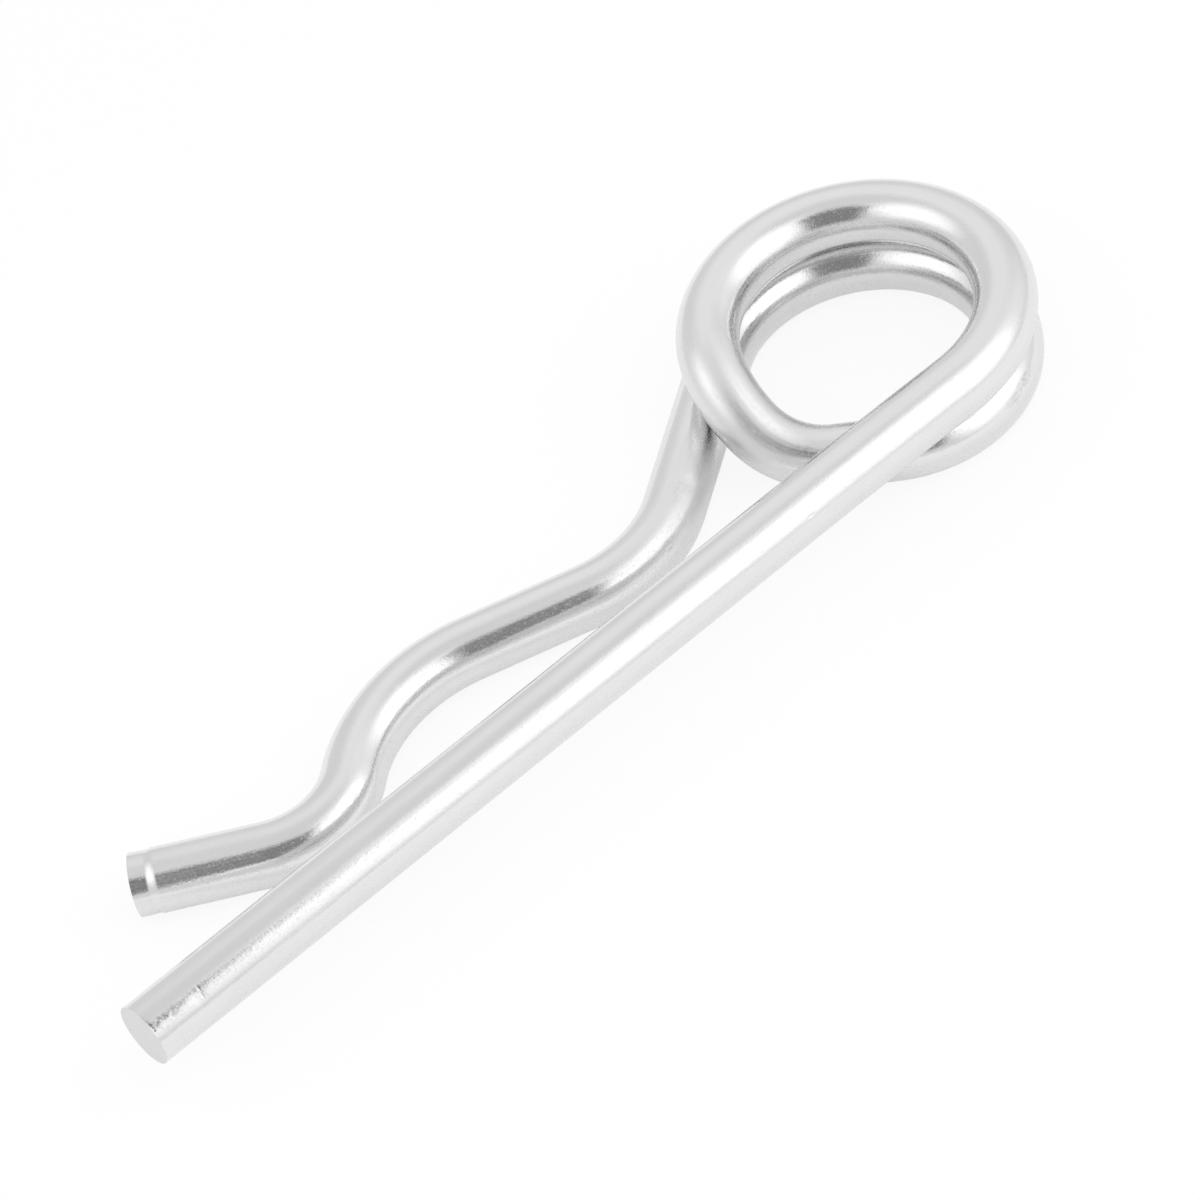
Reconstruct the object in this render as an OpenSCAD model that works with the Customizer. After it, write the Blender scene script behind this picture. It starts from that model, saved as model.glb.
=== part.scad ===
// Hitch pin clip: one length of round spring wire, wound one and a half times round an eye,
// with a straight leg on the upper layer and a waved gripping leg flat on the lower layer.
// Millimetres. The eye stands over the origin, the legs run towards -X, Z is up.

/* [Wire] */
// Wire diameter
wire_d = 4; // [3:0.1:4.6]
// Bevel on the flared tip
tip_bevel = 0.15; // [0.1:0.05:0.6]

/* [Coil] */
// Inside diameter of the eye
eye_d = 14.8; // [13:0.2:20]
// Air between the upper and the lower turn
turn_gap = 0.25; // [0.2:0.05:0.8]
// Place round the eye where the lower turn runs into the corner at its front
corner_start = 313.5; // [312:0.5:316]
// How much tighter than the eye the corner is bent
corner_tight = 2; // [1.7:0.1:2.4]
// Bend of the corner
corner_turn = 85; // [83:0.5:87]
// Straight run from the corner to the step
front_run = 3.8; // [3:0.1:4]
// How much tighter than the eye the step between the two turns is bent
step_tight = 3.3; // [3.1:0.1:3.5]
// Bend of each half of the step
step_half = 55.5; // [54.5:0.5:57]

/* [Straight leg] */
// Length of the straight leg beyond the stretch where it takes its lean
leg_run = 50.8; // [40:0.2:70]
// Lean of the straight leg down towards the lower layer
leg_lean = 1.2; // [0.6:0.1:1.8]
// Length beside the eye over which the leg takes its lean
lean_over = 13; // [11:0.2:16]
// Slant of the shear cut across its tip
leg_cut = 6; // [0:1:20]

/* [Gripping leg] */
// Slant at which the wire leaves the eye
exit_angle = 36; // [32:0.5:38]
// Mean radius of the neck bend
neck_r = 9.4; // [6:0.1:12]
// Space beside the straight leg at the neck
neck_gap = 3.9; // [3:0.1:4.8]
// Slant of the rise from the neck to the bulge
rise_angle = 18; // [14:0.5:22]
// Mean radius of the bulge
bulge_r = 11.3; // [8:0.1:13]
// Space beside the straight leg at the bulge
bulge_gap = 7.3; // [6.6:0.1:9]
// Mean radius of the lip bend
lip_r = 5.8; // [5:0.1:8]
// Space beside the straight leg at the lip
lip_gap = 2.7; // [2.2:0.1:3.4]
// Slant of the flared tip
flare_angle = 33; // [25:0.5:40]
// Straight run of the flared tip
flare_run = 8.1; // [5:0.1:12]

/* [Hidden] */
$fn = 96;
coil_r = (eye_d + wire_d) / 2;
corner_r = coil_r - corner_tight;
step_r = coil_r - step_tight;
layer_h = wire_d + turn_gap;
lean_r = lean_over * 180 / (PI * leg_lean);
// Shortest straight run between two bends, and how far a run reaches into the bends beside it
link_run = 0.1;
lap = 0.04;
// Growth of the wire where it is bent
bend_swell = 0.01;
// Way the shear cut faces, round the wire: up and away from the gripping leg
cut_turn = 140;

// The step from the upper to the lower turn is two equal bends, each tilted out of level.
// A longer run between them takes up the part of the drop that bends of the steepest tilt leave over.
steepest_tilt = 70;
bend_drop = step_r * (1 - cos(step_half));
step_run = max(link_run, 2 * (layer_h / 2 / sin(steepest_tilt) - bend_drop) / sin(step_half));
step_drop = bend_drop + step_run / 2 * sin(step_half);
step_tilt = asin(layer_h / 2 / step_drop);
step_roll = atan(tan(step_tilt) * cos(step_half));
step_turn = atan2(cos(step_tilt) * sin(step_half), cos(step_half));
upper_turn = corner_start + 90 - corner_turn - 2 * step_turn;
lower_turn = 360 + 90 + exit_angle - corner_start;

// Moves along the wire, as matrices
function shift(v) = [[1, 0, 0, v[0]], [0, 1, 0, v[1]], [0, 0, 1, v[2]], [0, 0, 0, 1]];
function turn_y(a) = [[cos(a), 0, sin(a), 0], [0, 1, 0, 0], [-sin(a), 0, cos(a), 0], [0, 0, 0, 1]];
function turn_z(a) = [[cos(a), -sin(a), 0, 0], [sin(a), cos(a), 0, 0], [0, 0, 1, 0], [0, 0, 0, 1]];
function past_bend(b) =
    turn_z(b[1]) * shift([b[2], 0, b[0]]) * turn_y(b[3]) * shift([-b[2], 0, 0]);
function place(start, bends, i) =
    i == 0 ? start : place(start, bends, i - 1) * past_bend(bends[i - 1]);

// The wire is formed both ways from the point where the lower turn meets the corner
root = turn_z(corner_start) * shift([coil_r, 0, (wire_d + bend_swell) / 2]);
gripping_start = root * [[-1, 0, 0, 0], [0, 0, 1, 0], [0, 1, 0, 0], [0, 0, 0, 1]];
straight_start = root * [[-1, 0, 0, 0], [0, 0, -1, 0], [0, -1, 0, 0], [0, 0, 0, 1]];

// Each bend: straight run before it, roll about the wire, mean radius, angle
straight_bends = [
    [link_run, 0, corner_r, corner_turn],
    [front_run, -step_tilt, step_r, step_half],
    [step_run, 2 * step_roll, step_r, step_half],
    [link_run, -step_tilt, coil_r, upper_turn],
    [link_run, 90, lean_r, leg_lean]
];
leg_y = place(straight_start, straight_bends, len(straight_bends))[1][3];

// Runs and slant of the gripping leg that give the three gaps
neck_run = (coil_r * cos(exit_angle) - neck_r * (1 - cos(exit_angle))
    - leg_y - wire_d - neck_gap) / sin(exit_angle);
rise_run = (bulge_gap - neck_gap - (neck_r + bulge_r) * (1 - cos(rise_angle))) / sin(rise_angle);
fall_r = bulge_r + lip_r;
fall_angle = acos((fall_r - bulge_gap + lip_gap) / sqrt(fall_r * fall_r + link_run * link_run))
    - atan(link_run / fall_r);
gripping_bends = [
    [0, 0, coil_r, lower_turn],
    [neck_run, 180, neck_r, exit_angle + rise_angle],
    [rise_run, 180, bulge_r, rise_angle + fall_angle],
    [link_run, 180, lip_r, fall_angle + flare_angle]
];

// A straight run up Z and then a bend towards +X
module run_and_bend(run, bend_r, bend_angle) {
    if (run > 0)
        translate([0, 0, -lap])
            cylinder(d = wire_d, h = run + 2 * lap);
    translate([bend_r, 0, run])
        rotate([90, 0, 180])
            rotate_extrude(angle = bend_angle)
                translate([bend_r, 0])
                    circle(d = wire_d + bend_swell);
}

// A last run up Z that ends in a square cut with a bevelled rim
module bevelled_tip(run) {
    translate([0, 0, -lap])
        cylinder(d = wire_d, h = run + lap - tip_bevel);
    translate([0, 0, run - tip_bevel])
        cylinder(d1 = wire_d, d2 = wire_d - 2 * tip_bevel, h = tip_bevel);
}

// A last run up Z that is sheared off at a slant
module sheared_tip(run) {
    difference() {
        translate([0, 0, -lap])
            cylinder(d = wire_d, h = run + lap + wire_d);
        translate([0, 0, run])
            rotate([0, leg_cut, cut_turn])
                translate([-wire_d, -wire_d, 0])
                    cube(2 * wire_d);
    }
}

// Bend after bend along one side of the clip, and then its tip
module formed_side(start, bends) {
    for (i = [0 : len(bends) - 1])
        multmatrix(place(start, bends, i) * turn_z(bends[i][1]))
            run_and_bend(bends[i][0], bends[i][2], bends[i][3]);
    multmatrix(place(start, bends, len(bends)))
        children();
}

// The whole clip
module clip_wire() {
    color([0.78, 0.79, 0.8]) {
        formed_side(gripping_start, gripping_bends)
            bevelled_tip(flare_run);
        formed_side(straight_start, straight_bends)
            sheared_tip(leg_run);
    }
}

clip_wire();
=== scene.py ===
# %% [markdown]
# # A hitch pin clip
# The clip is one length of bright-plated spring wire. A straight leg goes through the cross hole of a
# pin, a coiled eye takes a finger, and a waved leg springs over the outside of the pin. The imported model
# is loaded first. It fixes the place and the size, and everything new is set against it.

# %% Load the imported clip
import math

import bpy
from mathutils import Matrix, Vector


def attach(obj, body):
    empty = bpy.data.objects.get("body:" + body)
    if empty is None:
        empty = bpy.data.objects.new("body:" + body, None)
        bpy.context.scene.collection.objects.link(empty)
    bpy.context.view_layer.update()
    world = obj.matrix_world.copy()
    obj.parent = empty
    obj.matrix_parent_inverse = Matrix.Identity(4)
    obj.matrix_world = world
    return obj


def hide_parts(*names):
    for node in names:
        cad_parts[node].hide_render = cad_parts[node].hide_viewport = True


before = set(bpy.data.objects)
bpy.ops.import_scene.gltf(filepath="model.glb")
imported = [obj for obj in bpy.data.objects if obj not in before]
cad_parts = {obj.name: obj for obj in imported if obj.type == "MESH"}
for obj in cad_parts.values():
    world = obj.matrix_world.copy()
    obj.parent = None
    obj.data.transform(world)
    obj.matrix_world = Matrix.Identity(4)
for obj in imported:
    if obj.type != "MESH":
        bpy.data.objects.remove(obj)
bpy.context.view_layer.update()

# %% [markdown]
# ## The bending list
# A wire bender works from a short list: feed so much wire, bend it round a former of this radius by this
# angle, then roll the wire before the next bend. A swept curve would give the same tube, but the list is
# how the clip is really made, and each bend keeps its own radius. The list starts at the tip of the
# straight leg.

# %% The bending list
MM = 0.001
wire_r = 2.0

# name of the bend, feed before it, mean radius, angle, roll of the wire after it (millimetres and degrees)
bending_list = [
    ("lean of the straight leg", 50.8, 620.704, 1.2, 90),
    ("upper turn of the eye", 0.1, 9.4, 235.1614, -52.2886),
    ("first half of the step down", 0.1, 6.1, 55.5, 72.4487),
    ("second half of the step down", 0.1, 6.1, 55.5, -52.2886),
    ("corner at the front of the lower turn", 3.8, 7.4, 85.0, 0),
    ("rest of the lower turn", 0.1, 9.4, 172.5, 180),
    ("neck", 12.7135, 9.4, 54.0, 180),
    ("bulge", 7.7241, 11.3, 60.6962, 180),
    ("lip", 0.1, 5.8, 75.6962, 0),
]
flare_feed, held_feed = 6.75, 1.35

leg_tip = Vector((-63.719, -9.5633, 5.055))
leg_heading = Vector((0.999781, 0, 0.020942)).normalized()
wire_length = flare_feed + held_feed
wire_length += sum(feed + radius * math.radians(angle) for _, feed, radius, angle, _ in bending_list)
print("wire needed:", round(wire_length, 1), "mm in", len(bending_list), "bends")

# %% [markdown]
# ## The end of the wire
# The wire starts as a ring of points, as if looking at its end. It is set half a millimetre before the
# tip, so that the slanted shear cut can be made through real wire later on. The place of each point on
# the ring is kept: it says where the point lies round the straight wire.

# %% A ring for the end of the wire
bpy.ops.object.select_all(action="DESELECT")
bpy.ops.mesh.primitive_circle_add(vertices=72, radius=wire_r * MM, fill_type="NOTHING")
wire = bpy.context.object
wire.name = "bright_wire"
ring_places = [(v.co.x / MM, v.co.y / MM) for v in wire.data.vertices]

spare = 0.5
spot = leg_tip - spare * leg_heading
heading = leg_heading.copy()
inside = Vector((leg_heading.z, 0, -leg_heading.x))
wire.location = spot * MM
wire.rotation_euler = Matrix((inside, heading.cross(inside), heading)).transposed().to_euler()
bpy.ops.object.transform_apply(location=True, rotation=True, scale=True)
print("ring of", len(ring_places), "points")

# %% [markdown]
# ## The two moves of the machine
# Feeding is Extrude and bending is Spin. Extrude moves the last ring on along the wire, and Spin carries
# it round the centre of the bend. Without a window Spin turns the other way round its axis, so the axis
# is given the other way up. The distance along the wire is kept for every ring.

# %% Helpers to feed and to bend
ring_at = [-spare]


def feed_wire(length, step=0.3):
    """Extrude the last ring on along the wire, and return the new spot."""
    steps = max(1, round(length / step))
    for _ in range(steps):
        bpy.ops.mesh.extrude_region_move(TRANSFORM_OT_translate={"value": heading * (length / steps * MM)})
        ring_at.append(ring_at[-1] + length / steps)
    return spot + heading * length


def bend_wire(radius, angle, step=0.3):
    """Spin the last ring round the former, and return the new spot, heading and inside."""
    former = spot + inside * radius
    axle = heading.cross(inside)
    arc = radius * math.radians(angle)
    steps = max(1, round(arc / step))
    bpy.ops.mesh.spin(steps=steps, angle=math.radians(angle), center=former * MM, axis=-axle)
    bend_at = ring_at[-1]
    ring_at.extend(bend_at + arc * (i + 1) / steps for i in range(steps))
    turn = Matrix.Rotation(math.radians(angle), 3, axle)
    return former + turn @ (spot - former), turn @ heading, turn @ inside


print("the first ring lies at", ring_at[0], "mm")

# %% [markdown]
# ## Feeding and bending
# Now the list is worked through, as the machine would. The first feed is one long step, so that no ring
# lies close to the slanted cut: rings that nearly touch a cut leave slivers. Near the flared tip the
# feeds are short, because a groove is pressed in there.

# %% Work through the list
first_feed = 0.8
groove_wall = 0.18

bpy.ops.object.mode_set(mode="EDIT")
bpy.ops.mesh.select_all(action="SELECT")
spot = feed_wire(spare + first_feed, step=2.0)
already_fed = first_feed
for bend_name, feed, radius, angle, roll in bending_list:
    spot = feed_wire(feed - already_fed)
    already_fed = 0
    spot, heading, inside = bend_wire(radius, angle)
    inside = Matrix.Rotation(math.radians(roll), 3, heading) @ inside
    print(bend_name, "ends at", [round(c, 2) for c in spot], "mm")
spot = feed_wire(flare_feed)
groove_at = ring_at[-1]
for short_feed in (groove_wall, held_feed - groove_wall):
    spot = feed_wire(short_feed, step=0.25)
flare_tip, flare_heading = spot.copy(), heading.copy()
bpy.ops.object.mode_set(mode="OBJECT")
print(len(ring_at), "rings,", len(wire.data.polygons), "faces, tip at", [round(c, 2) for c in flare_tip])

# %% [markdown]
# ## Where each point was on the straight wire
# Drawing lines run along the wire, so the finish has to follow the bends. Each point gets an attribute
# that says where it was before bending: how far along, and where on the round. A pattern that reads it
# flows with the wire and has no seam, which a flat map of the tube would have.

# %% Keep the unbent place of every point
unbent = wire.data.attributes.new("unbent", "FLOAT_VECTOR", "POINT")
for i, place in enumerate(unbent.data):
    place.vector = (ring_at[i // len(ring_places)], *ring_places[i % len(ring_places)])
print("unbent wire from", ring_at[0], "to", round(ring_at[-1], 2), "mm")

# %% [markdown]
# ## Picking points
# By hand, points are picked with a click. In a script a place has to be named instead, and on a bent wire
# that is easiest before the bends: so far along, and so far round. Two helpers find points that way.

# %% Helpers to pick points along the wire
def on_wire(along, round_deg):
    """A place on the unbent wire. round_deg is 0 at the underside of the straight leg and 180 at its top."""
    a = math.radians(round_deg)
    return Vector((along, wire_r * math.cos(a), wire_r * math.sin(a)))


def pick(test):
    """Select the points whose unbent place passes the test, and stay in edit mode."""
    bpy.ops.object.mode_set(mode="EDIT")
    bpy.ops.mesh.select_mode(type="VERT")
    bpy.ops.mesh.select_all(action="DESELECT")
    bpy.ops.object.mode_set(mode="OBJECT")
    places = wire.data.attributes["unbent"].data
    for v in wire.data.vertices:
        v.select = test(places[v.index].vector)
    bpy.ops.object.mode_set(mode="EDIT")


print("the top of the straight leg is", [round(c, 2) for c in on_wire(0, 180)], "on the unbent wire")

# %% [markdown]
# ## Marks from the bending tools
# Spring wire is formed cold and hard, and the pins of the machine leave shallow marks where the neck was
# bent and where the straight leg was gripped. A bump in the material could hint at them, but a real
# hollow also bends the reflections that cross it. So they are pressed into the mesh with proportional
# editing, as with a thumb.

# %% Press the tool marks
def press(name, along, round_deg, depth, reach):
    """Push the wire in at one place."""
    want = on_wire(along, round_deg)
    bpy.ops.object.mode_set(mode="OBJECT")
    places = wire.data.attributes["unbent"].data
    nearest = min(range(len(places)), key=lambda i: (places[i].vector - want).length)
    inward = -wire.data.vertices[nearest].normal
    mark = places[nearest].vector.copy()
    pick(lambda place: (place - mark).length < 1e-5)
    bpy.ops.transform.translate(
        value=inward * (depth * MM),
        use_proportional_edit=True,
        proportional_edit_falloff="SMOOTH",
        proportional_size=reach * MM,
        use_proportional_connected=True,
    )
    print(name, "pressed", depth, "mm deep at", along, "mm")


bpy.ops.object.mode_set(mode="EDIT")
bpy.ops.mesh.select_all(action="SELECT")
bpy.ops.mesh.normals_make_consistent(inside=False)
press("dent in the neck", 171.1, 133, 0.05, 0.8)
press("rub above the dent", 169.8, 121, 0.035, 0.8)
press("pinch under the neck", 174.0, 89, 0.04, 0.6)
press("grip on the straight leg", 3.6, 224, 0.02, 0.7)

# %% [markdown]
# ## The flared tip
# A tool held the tip of the waved leg: a shallow groove runs round it about a millimetre from the end,
# with a small shoulder, and the wire widens again towards the cut. Scaling the last rings gives the
# groove, and a face over the last ring closes the end.

# %% Finish the flared tip
groove_size, end_size = 0.960, 0.990
ring_slack = 0.02
flare_end = ring_at[-1]
for at in ring_at[ring_at.index(groove_at) + 1:]:
    drawn_in = groove_size + (end_size - groove_size) * (at - groove_at) / (flare_end - groove_at)
    ring_middle = flare_tip - flare_heading * (flare_end - at)
    pick(lambda place: abs(place.x - at) < ring_slack)
    bpy.ops.transform.resize(value=(drawn_in, drawn_in, drawn_in), center_override=ring_middle * MM)
pick(lambda place: abs(place.x - flare_end) < ring_slack)
bpy.ops.mesh.edge_face_add()
bpy.ops.mesh.inset(thickness=0.5 * MM)
bpy.ops.object.mode_set(mode="OBJECT")
print("flared tip closed,", len(wire.data.polygons), "faces")

# %% [markdown]
# ## The sheared tip
# The straight leg was sheared off at a slant. Bisect is the shear: it cuts straight through the wire,
# throws the spare end away and fills the cut. The blade draws the rim over a little before it tears, so
# the rim gets a very narrow rounded bevel.

# %% Shear the straight leg
cut_slant = math.radians(6)
cut_side = Vector((0, -0.64, 0.77))
cut_side = (cut_side - leg_heading * cut_side.dot(leg_heading)).normalized()
cut_normal = -leg_heading * math.cos(cut_slant) + cut_side * math.sin(cut_slant)
rim_bevel = 0.07

bpy.ops.object.mode_set(mode="EDIT")
bpy.ops.mesh.select_all(action="SELECT")
bpy.ops.mesh.bisect(plane_co=leg_tip * MM, plane_no=cut_normal, use_fill=True, clear_outer=True)
bpy.ops.mesh.select_mode(type="FACE")
bpy.ops.object.mode_set(mode="OBJECT")
cut_face = max(wire.data.polygons, key=lambda face: len(face.vertices) * (face.center.x < -0.05))
for part in (*wire.data.vertices, *wire.data.edges, *wire.data.polygons):
    part.select = False
cut_face.select = True
bpy.ops.object.mode_set(mode="EDIT")
bpy.ops.mesh.region_to_loop()
bpy.ops.mesh.bevel(offset=rim_bevel * MM, segments=3, affect="EDGES")
bpy.ops.object.mode_set(mode="OBJECT")
print("sheared tip has", len(wire.data.polygons), "faces with the bevel")

# %% [markdown]
# ## Closing up the mesh
# The wire is one closed skin, so points that lie on each other are merged and all faces are turned
# outwards. Shading is smooth along the wire. Edges sharper than 35 degrees stay crisp, which keeps the
# rims of both ends.

# %% Close up the mesh
crisp_from = math.radians(35)
bpy.ops.object.mode_set(mode="EDIT")
bpy.ops.mesh.select_mode(type="VERT")
bpy.ops.mesh.select_all(action="SELECT")
bpy.ops.mesh.remove_doubles(threshold=1e-7)
bpy.ops.mesh.normals_make_consistent(inside=False)
bpy.ops.object.mode_set(mode="OBJECT")
bpy.ops.object.shade_smooth_by_angle(angle=crisp_from)
print("wire has", len(wire.data.vertices), "points")

# %% [markdown]
# ## Helpers for the finishes
# A finish is built from nodes, and many of them only need a few inputs set. One helper makes such a node.
# Another starts a group, which is a small set of nodes that takes a place and gives patterns back.

# %% Helpers for nodes and groups
def node(tree, kind, **values):
    """A new node with some of its inputs set."""
    made = tree.nodes.new(kind)
    for name, value in values.items():
        made.inputs[name.replace("_", " ")].default_value = value
    return made


def new_group(name, outputs):
    """A shader node group that takes a place and gives values."""
    group = bpy.data.node_groups.new(name, "ShaderNodeTree")
    group.interface.new_socket("Place", in_out="INPUT", socket_type="NodeSocketVector")
    for socket in outputs:
        group.interface.new_socket(socket, in_out="OUTPUT", socket_type="NodeSocketFloat")
    return group, group.nodes.new("NodeGroupInput").outputs["Place"], group.nodes.new("NodeGroupOutput")


def noise_pattern(group, place, stretch, detail):
    """Noise with so many specks to the millimetre along the wire and across it."""
    scaled = node(group, "ShaderNodeMapping", Scale=stretch)
    noise = node(group, "ShaderNodeTexNoise", Scale=1.0, Detail=detail)
    group.links.new(place, scaled.inputs["Vector"])
    group.links.new(scaled.outputs["Vector"], noise.inputs["Vector"])
    return noise.outputs["Fac"]


print("node groups so far:", len(bpy.data.node_groups))

# %% [markdown]
# ## Patterns for the plating
# Zinc plating on drawn wire is a bright metal: smooth enough to mirror the studio, with fine drawing
# lines along the wire, and a slow ripple and a fine grain that break up the edges of the reflections. Its
# tone drifts in soft clouds and in long streaks. An image of such a surface would repeat, so each pattern
# is noise, stretched to its own size and read at the unbent place, so that it follows the wire.

# %% Node group for the plating
plating, place_in, patterns = new_group("plating_patterns", ("Lines", "Ripple", "Grain", "Cloud", "Streaks"))
for socket, stretch, detail in (
    ("Lines", (0.10, 7.0, 7.0), 4.0),
    ("Ripple", (0.9, 1.8, 1.8), 3.0),
    ("Grain", (6.0, 8.0, 8.0), 2.0),
    ("Cloud", (0.25, 0.5, 0.5), 3.0),
    ("Streaks", (0.035, 1.6, 1.6), 5.0),
):
    plating.links.new(noise_pattern(plating, place_in, stretch, detail), patterns.inputs[socket])
print("patterns:", [socket.name for socket in patterns.inputs if socket.name])

# %% [markdown]
# ## Soft ovals
# A rub or a nick is a small oval on the wire that is strongest in its middle. It could be painted on an
# image, but an oval round a place on the unbent wire needs no image and stays sharp at any size.

# %% Helper for marks on the wire
def oval_marks(group, place, marks):
    """The strongest of several soft ovals, each (along, round_deg, half length, half width, strength)."""
    strongest = None
    for along, round_deg, half_length, half_width, strength in marks:
        offset = group.nodes.new("ShaderNodeVectorMath")
        offset.operation = "SUBTRACT"
        offset.inputs[1].default_value = on_wire(along, round_deg)
        shaped = group.nodes.new("ShaderNodeVectorMath")
        shaped.operation = "MULTIPLY"
        shaped.inputs[1].default_value = (1 / half_length, 1 / half_width, 1 / half_width)
        reach = group.nodes.new("ShaderNodeVectorMath")
        reach.operation = "LENGTH"
        fade = node(group, "ShaderNodeMapRange", From_Min=1.0, From_Max=0.0, To_Max=strength)
        fade.interpolation_type = "SMOOTHSTEP"
        group.links.new(place, offset.inputs[0])
        group.links.new(offset.outputs["Vector"], shaped.inputs[0])
        group.links.new(shaped.outputs["Vector"], reach.inputs[0])
        group.links.new(reach.outputs["Value"], fade.inputs["Value"])
        mark = fade.outputs["Result"]
        if strongest:
            larger = group.nodes.new("ShaderNodeMath")
            larger.operation = "MAXIMUM"
            group.links.new(strongest, larger.inputs[0])
            group.links.new(mark, larger.inputs[1])
            mark = larger.outputs["Value"]
        strongest = mark
    return strongest


marks_group, place_in, marks_out = new_group("rubs_and_nicks", ("Rubs", "Nicks", "Dull"))
print("marks:", [socket.name for socket in marks_out.inputs if socket.name])

# %% [markdown]
# ## Rubs, nicks and dull plating
# Where the clip was gripped or sheared, or has rubbed on itself, the plating is torn in small specks, so
# the rubs are broken up by noise. Nicks are short and narrow. At the step of the eye and at the neck the
# plating was stretched the most and went a little dull, and two large ovals say where.

# %% Node group for the marks
rubs = oval_marks(marks_group, place_in, (
    (0.30, 214, 0.20, 0.95, 1.0),
    (1.3, 219, 1.6, 0.60, 0.7),
    (112.9, 183, 1.3, 0.6, 0.5),
    (126.6, 207, 1.6, 0.45, 0.7),
    (125.4, 213, 1.0, 0.40, 0.45),
    (170.4, 127, 1.4, 0.5, 0.3),
))
torn = node(marks_group, "ShaderNodeMapRange", From_Min=0.42, From_Max=0.62)
broken = marks_group.nodes.new("ShaderNodeMath")
broken.operation = "MULTIPLY"
marks_group.links.new(noise_pattern(marks_group, place_in, (3.0, 4.0, 4.0), 3.0), torn.inputs["Value"])
marks_group.links.new(rubs, broken.inputs[0])
marks_group.links.new(torn.outputs["Result"], broken.inputs[1])
marks_group.links.new(broken.outputs["Value"], marks_out.inputs["Rubs"])

nicks = oval_marks(marks_group, place_in, (
    (3.80, 216, 0.14, 0.40, 0.3),
    (3.72, 228, 0.14, 0.45, 0.3),
    (13.3, 214, 0.15, 0.80, 0.08),
    (50.5, 240, 0.35, 0.12, 0.9),
    (46.6, 237, 0.25, 0.12, 0.5),
    (174.0, 88, 0.40, 0.12, 0.7),
    (171.4, 131, 0.12, 0.45, 0.4),
))
marks_group.links.new(nicks, marks_out.inputs["Nicks"])

dull = oval_marks(marks_group, place_in, (
    (108.0, 170, 9.5, 5.0, 1.0),
    (171.0, 105, 9.0, 4.0, 0.8),
))
marks_group.links.new(dull, marks_out.inputs["Dull"])
print("marks group has", len(marks_group.nodes), "nodes")

# %% [markdown]
# ## Bright zinc: the metal and its tone
# The patterns come together in one material. Zinc has hardly any colour, so its tone is a neutral light
# grey that the clouds and streaks shift a little, and the torn rubs show darker metal.

# %% The tone of the bright zinc
zinc = bpy.data.materials.new("bright_zinc")
zinc.use_nodes = True
tree = zinc.node_tree
metal = tree.nodes["Principled BSDF"]
metal.inputs["Metallic"].default_value = 1.0
place = tree.nodes.new("ShaderNodeAttribute")
place.attribute_name = "unbent"
pattern = tree.nodes.new("ShaderNodeGroup")
pattern.node_tree = plating
marks = tree.nodes.new("ShaderNodeGroup")
marks.node_tree = marks_group
tree.links.new(place.outputs["Vector"], pattern.inputs["Place"])
tree.links.new(place.outputs["Vector"], marks.inputs["Place"])

tone = tree.nodes.new("ShaderNodeMix")
tone.data_type = "RGBA"
tone.inputs["A"].default_value = (0.74, 0.74, 0.74, 1)
tone.inputs["B"].default_value = (0.85, 0.85, 0.85, 1)
worn_tone = tree.nodes.new("ShaderNodeMix")
worn_tone.data_type = "RGBA"
worn_tone.inputs["B"].default_value = (0.46, 0.46, 0.46, 1)
streaked = tree.nodes.new("ShaderNodeMix")
streaked.inputs["Factor"].default_value = 0.6
tree.links.new(pattern.outputs["Cloud"], streaked.inputs["A"])
tree.links.new(pattern.outputs["Streaks"], streaked.inputs["B"])
tree.links.new(streaked.outputs["Result"], tone.inputs["Factor"])
tree.links.new(marks.outputs["Rubs"], worn_tone.inputs["Factor"])
tree.links.new(tone.outputs["Result"], worn_tone.inputs["A"])
tree.links.new(worn_tone.outputs["Result"], metal.inputs["Base Color"])
wire.data.materials.append(zinc)
print("bright zinc on", wire.name)

# %% [markdown]
# ## Bright zinc: the gloss
# A mirror would show the panels with hard edges, and a satin metal would lose them. This plating lies
# between: its roughness follows the drawing lines, small specks of grain are duller, and so is the
# stretched plating.

# %% The gloss of the bright zinc
gloss = node(tree, "ShaderNodeMapRange", From_Min=0.35, From_Max=0.65, To_Min=0.11, To_Max=0.20)
specks = node(tree, "ShaderNodeMapRange", From_Min=0.54, From_Max=0.70, To_Min=0.0, To_Max=0.16)
dulled = tree.nodes.new("ShaderNodeMath")
dulled.operation = "ADD"
stretched = tree.nodes.new("ShaderNodeMath")
stretched.operation = "MULTIPLY_ADD"
stretched.inputs[1].default_value = 0.30
tree.links.new(pattern.outputs["Lines"], gloss.inputs["Value"])
tree.links.new(pattern.outputs["Grain"], specks.inputs["Value"])
tree.links.new(gloss.outputs["Result"], dulled.inputs[0])
tree.links.new(specks.outputs["Result"], dulled.inputs[1])
tree.links.new(marks.outputs["Dull"], stretched.inputs[0])
tree.links.new(dulled.outputs["Value"], stretched.inputs[2])
tree.links.new(stretched.outputs["Value"], metal.inputs["Roughness"])
print("gloss from", [link.from_node.bl_label for link in metal.inputs["Roughness"].links])

# %% [markdown]
# ## Bright zinc: the small heights
# Ripple, lines and grain are a few thousandths of a millimetre high, and the rubs and nicks are cut in a
# little deeper. Points for these would make a huge mesh, so they are five bumps, each standing on the
# last.

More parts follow.
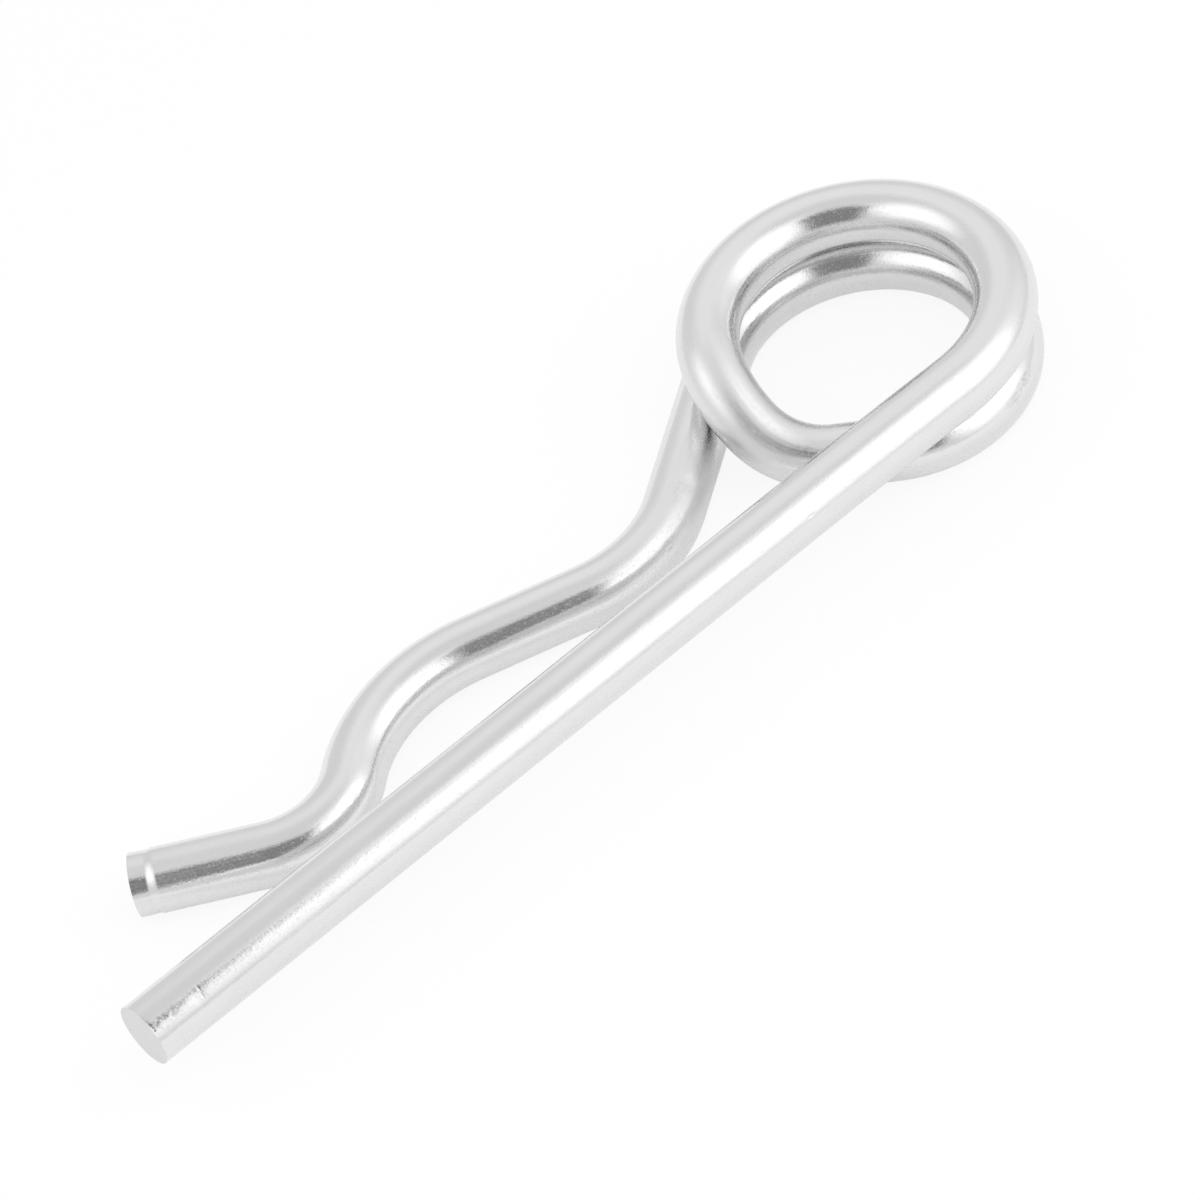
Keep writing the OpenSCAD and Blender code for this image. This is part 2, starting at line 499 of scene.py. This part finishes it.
# %% The bumps of the bright zinc
normal = None
for height, depth in (
    (pattern.outputs["Ripple"], 0.008),
    (pattern.outputs["Lines"], 0.004),
    (pattern.outputs["Grain"], 0.0045),
    (marks.outputs["Rubs"], -0.012),
    (marks.outputs["Nicks"], -0.015),
):
    bump = node(tree, "ShaderNodeBump", Strength=1.0, Distance=abs(depth) * MM)
    bump.invert = depth < 0
    tree.links.new(height, bump.inputs["Height"])
    if normal:
        tree.links.new(normal, bump.inputs["Normal"])
    normal = bump.outputs["Normal"]
tree.links.new(normal, metal.inputs["Normal"])
print("bright zinc has", len(tree.nodes), "nodes")

# %% [markdown]
# ## The cut face
# The sheared face has no plating to mirror with: it is dull grey steel with fine lines in the way the
# blade went. The face is flat, so its pattern needs no unbent place: noise that is stretched one way is
# enough.

# %% The sheared steel material
steel = bpy.data.materials.new("sheared_steel")
steel.use_nodes = True
tree = steel.node_tree
cut_metal = tree.nodes["Principled BSDF"]
cut_metal.inputs["Metallic"].default_value = 1.0
coords = tree.nodes.new("ShaderNodeTexCoord")
blade_way = node(tree, "ShaderNodeMapping", Scale=(900, 9000, 2500))
blade_lines = node(tree, "ShaderNodeTexNoise", Scale=1.0, Detail=4.0)
cut_tone = tree.nodes.new("ShaderNodeMix")
cut_tone.data_type = "RGBA"
cut_tone.inputs["A"].default_value = (0.66, 0.66, 0.665, 1)
cut_tone.inputs["B"].default_value = (0.80, 0.80, 0.805, 1)
cut_gloss = node(tree, "ShaderNodeMapRange", To_Min=0.30, To_Max=0.50)
cut_bump = node(tree, "ShaderNodeBump", Strength=0.6, Distance=0.008 * MM)
tree.links.new(coords.outputs["Object"], blade_way.inputs["Vector"])
tree.links.new(blade_way.outputs["Vector"], blade_lines.inputs["Vector"])
tree.links.new(blade_lines.outputs["Fac"], cut_tone.inputs["Factor"])
tree.links.new(cut_tone.outputs["Result"], cut_metal.inputs["Base Color"])
tree.links.new(blade_lines.outputs["Fac"], cut_gloss.inputs["Value"])
tree.links.new(cut_gloss.outputs["Result"], cut_metal.inputs["Roughness"])
tree.links.new(blade_lines.outputs["Fac"], cut_bump.inputs["Height"])
tree.links.new(cut_bump.outputs["Normal"], cut_metal.inputs["Normal"])
wire.data.materials.append(steel)
print("sheared steel is material", len(wire.data.materials), "of", wire.name)

# %% [markdown]
# ## Giving the wire to the frame
# The faces of the cut are found by their place and by the way they face, and get the steel. Then the
# frame is told what the new wire is: it rides on the only body, and it takes the place of the plain
# packed wire.

# %% Steel on the cut, and the place in the frame
steel_faces = 0
for face in wire.data.polygons:
    near_tip = (face.center / MM - leg_tip).length < 1.05 * wire_r
    if near_tip and face.normal.dot(cut_normal) > 0.9:
        face.material_index = 1
        steel_faces += 1
print("sheared steel on", steel_faces, "faces")

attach(wire, "root")
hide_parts("clip_wire")

# %% [markdown]
# ## The white floor
# The clip lies on a white sheet. Under plain soft light white paper renders as pale grey, and more light
# would burn out the metal. So the sheet is lifted towards white only where the camera looks at it, and
# less where the metal mirrors it. It is not lifted all the way, so that it keeps a trace of the shadow.

# %% White floor
camera_lift, mirror_lift = 0.88, 0.4
bpy.ops.mesh.primitive_plane_add(size=3.0, location=(0, 0, 0))
floor = bpy.context.object
floor.name = "white_floor"
paper = bpy.data.materials.new("white_paper")
paper.use_nodes = True
tree = paper.node_tree
sheet = tree.nodes["Principled BSDF"]
sheet.inputs["Base Color"].default_value = (0.92, 0.92, 0.92, 1)
sheet.inputs["Roughness"].default_value = 0.9
sheet.inputs["Specular IOR Level"].default_value = 0.1
white = node(tree, "ShaderNodeEmission", Color=(1, 1, 1, 1), Strength=1.0)
path = tree.nodes.new("ShaderNodeLightPath")
seen = tree.nodes.new("ShaderNodeMath")
seen.operation = "MAXIMUM"
blend = tree.nodes.new("ShaderNodeMixShader")
for i, (ray, lift) in enumerate((("Is Camera Ray", camera_lift), ("Is Glossy Ray", mirror_lift))):
    lifted = tree.nodes.new("ShaderNodeMath")
    lifted.operation = "MULTIPLY"
    lifted.inputs[1].default_value = lift
    tree.links.new(path.outputs[ray], lifted.inputs[0])
    tree.links.new(lifted.outputs["Value"], seen.inputs[i])
tree.links.new(seen.outputs["Value"], blend.inputs["Fac"])
tree.links.new(sheet.outputs["BSDF"], blend.inputs[1])
tree.links.new(white.outputs["Emission"], blend.inputs[2])
tree.links.new(blend.outputs["Shader"], tree.nodes["Material Output"].inputs["Surface"])
floor.data.materials.append(paper)
print("floor of", round(floor.dimensions.x, 1), "m")

# %% [markdown]
# ## The camera
# The camera looks down on the clip from the front, at 46.5 degrees, and leans a little to one side. Its
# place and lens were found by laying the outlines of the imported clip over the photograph. The lens is
# long, so the near and the far leg hardly differ in scale.

# %% Camera
view_turn, view_rise, view_roll = (math.radians(a) for a in (26.8148, 46.5124, -17.58))
view_distance = 288.03
image_width = 1200
lens_in_pixels = 4718.6
aim = Vector((-23.777, -2.085, 2.005))
away = Vector((
    -math.cos(view_rise) * math.sin(view_turn),
    -math.cos(view_rise) * math.cos(view_turn),
    math.sin(view_rise),
))
level = Vector((math.cos(view_turn), -math.sin(view_turn), 0))
upright = away.cross(level)
right = level * math.cos(view_roll) + upright * math.sin(view_roll)
top = away.cross(right)
bpy.ops.object.camera_add(location=(aim + view_distance * away) * MM)
camera = bpy.context.object
camera.rotation_euler = Matrix((right, top, away)).transposed().to_euler()
camera.data.sensor_width = 36.0
camera.data.lens = lens_in_pixels / image_width * camera.data.sensor_width
camera.data.clip_start = 0.01
bpy.context.scene.camera = camera
print("lens", round(camera.data.lens, 1), "mm")

# %% [markdown]
# ## Soft edges for panels and cloth
# Bright metal shows what stands round it more than what falls on it. A panel with hard edges would draw
# hard lines along the wire, so its brightness fades from the middle out. One group makes that fade for
# the panels and for the dark cloth: Solid says how far from the middle it stays at full strength.

# %% Node group for soft edges
soft_edges, card_place, fade_out = new_group("soft_edges", ("Fade",))
soft_edges.interface.new_socket("Solid", in_out="INPUT", socket_type="NodeSocketFloat")
solid = card_place.node.outputs["Solid"]
from_middle = soft_edges.nodes.new("ShaderNodeVectorMath")
from_middle.operation = "SUBTRACT"
from_middle.inputs[1].default_value = (0.5, 0.5, 0)
either_way = soft_edges.nodes.new("ShaderNodeVectorMath")
either_way.operation = "ABSOLUTE"
two_ways = soft_edges.nodes.new("ShaderNodeSeparateXYZ")
both_ways = soft_edges.nodes.new("ShaderNodeMath")
both_ways.operation = "MULTIPLY"
soft_edges.links.new(card_place, from_middle.inputs[0])
soft_edges.links.new(from_middle.outputs["Vector"], either_way.inputs[0])
soft_edges.links.new(either_way.outputs["Vector"], two_ways.inputs["Vector"])
for i, way in enumerate("XY"):
    edge_fade = node(soft_edges, "ShaderNodeMapRange", From_Min=0.5)
    edge_fade.interpolation_type = "SMOOTHSTEP"
    soft_edges.links.new(two_ways.outputs[way], edge_fade.inputs["Value"])
    soft_edges.links.new(solid, edge_fade.inputs["From Max"])
    soft_edges.links.new(edge_fade.outputs["Result"], both_ways.inputs[i])
soft_edges.links.new(both_ways.outputs["Value"], fade_out.inputs["Fade"])
print("soft edges group has", len(soft_edges.nodes), "nodes")

# %% [markdown]
# ## Panels round the clip
# A panel is an area lamp, because a lamp gives less noise than a bright sheet. Its power is worked out
# from how bright its surface should look, which is what the wire mirrors. A second helper sets a panel or
# a cloth square to the clip, at a distance.

# %% Helpers for the panels
def soft_panel(name, wide, high, radiance):
    """A soft-edged area lamp. radiance is its brightness as a surface, where 1 is white."""
    bpy.ops.object.light_add(type="AREA", location=(0, 0, 0))
    lamp = bpy.context.object
    lamp.name = name
    lamp.data.shape = "RECTANGLE"
    lamp.data.size, lamp.data.size_y = wide, high
    lamp.data.energy = 4 * radiance * wide * high
    lamp.data.use_nodes = True
    tree = lamp.data.node_tree
    over_panel = tree.nodes.new("ShaderNodeNewGeometry")
    fade = tree.nodes.new("ShaderNodeGroup")
    fade.node_tree = soft_edges
    fade.inputs["Solid"].default_value = 0.1
    tree.links.new(over_panel.outputs["Parametric"], fade.inputs["Place"])
    tree.links.new(fade.outputs["Fade"], tree.nodes["Emission"].inputs["Strength"])
    print(name, round(lamp.data.energy, 2), "W")
    return lamp


def face_clip(piece, azimuth, elevation, distance):
    """Set a piece square to the clip. The angles are in degrees round from +X and up from the floor."""
    a, e = math.radians(azimuth), math.radians(elevation)
    way = Vector((math.cos(e) * math.cos(a), math.cos(e) * math.sin(a), math.sin(e)))
    piece.location = aim * MM + way * distance
    piece.rotation_euler = way.to_track_quat("Z", "Y").to_euler()


# %% [markdown]
# ## Setting up the panels
# Two broad panels to the right and the left give the long highlights of the legs. Two weak ones, further
# round and at the back, keep the far sides of the wire from going dark. The last lamp hangs over the
# sheet and is there only for the floor in front, which the undersides mirror, so it is hidden from the
# metal itself.

# %% Panels
for name, wide, high, radiance, azimuth, elevation, distance in (
    ("right_panel", 0.72, 0.76, 0.52, -55, 37, 0.42),
    ("right_spill", 0.60, 0.66, 0.14, -14, 34, 0.40),
    ("left_panel", 0.74, 0.52, 0.45, 162, 43, 0.40),
    ("back_panel", 0.34, 0.34, 0.12, 50, 46, 0.26),
):
    face_clip(soft_panel(name, wide, high, radiance), azimuth, elevation, distance)
floor_wash = soft_panel("floor_wash", 0.30, 0.16, 1.1)
floor_wash.location = (-0.02, -0.10, 0.20)
floor_wash.visible_glossy = False

# %% [markdown]
# ## The dark cloth
# The dark dashes in the bends are the reflection of something dark behind the camera. A piece of grey
# cloth with soft edges hangs there. Only the mirror of the metal sees it: it throws no shadow on the clip
# or the floor.

# %% Dark cloth
bpy.ops.mesh.primitive_plane_add(size=1.0, location=(0, 0, 0))
cloth = bpy.context.object
cloth.name = "dark_cloth"
cloth.scale = (0.36, 0.48, 1)
face_clip(cloth, -120, 43, 0.36)
bpy.ops.object.transform_apply(location=True, rotation=True, scale=True)
shade = bpy.data.materials.new("dark_weave")
shade.use_nodes = True
tree = shade.node_tree
weave = tree.nodes["Principled BSDF"]
weave.inputs["Base Color"].default_value = (0.24, 0.24, 0.24, 1)
over_cloth = tree.nodes.new("ShaderNodeTexCoord")
fade = tree.nodes.new("ShaderNodeGroup")
fade.node_tree = soft_edges
fade.inputs["Solid"].default_value = 0.27
tree.links.new(over_cloth.outputs["UV"], fade.inputs["Place"])
tree.links.new(fade.outputs["Fade"], weave.inputs["Alpha"])
cloth.data.materials.append(shade)
cloth.visible_camera = False
cloth.visible_diffuse = False
cloth.visible_shadow = False
print("dark cloth of", [round(c, 2) for c in cloth.dimensions], "m")

# %% [markdown]
# ## The white tent
# A tent of thin white cloth stands round it all. It is the plain level of light that comes from
# everywhere, and the panels only add to it. The Standard view shows each tone as it is written.

# %% White tent
world = bpy.data.worlds.new("white_tent")
bpy.context.scene.world = world
world.use_nodes = True
tent = world.node_tree.nodes["Background"]
tent.inputs["Color"].default_value = (0.78, 0.78, 0.78, 1)
tent.inputs["Strength"].default_value = 1.0
bpy.context.scene.view_settings.view_transform = "Standard"
print("tent at strength", tent.inputs["Strength"].default_value)
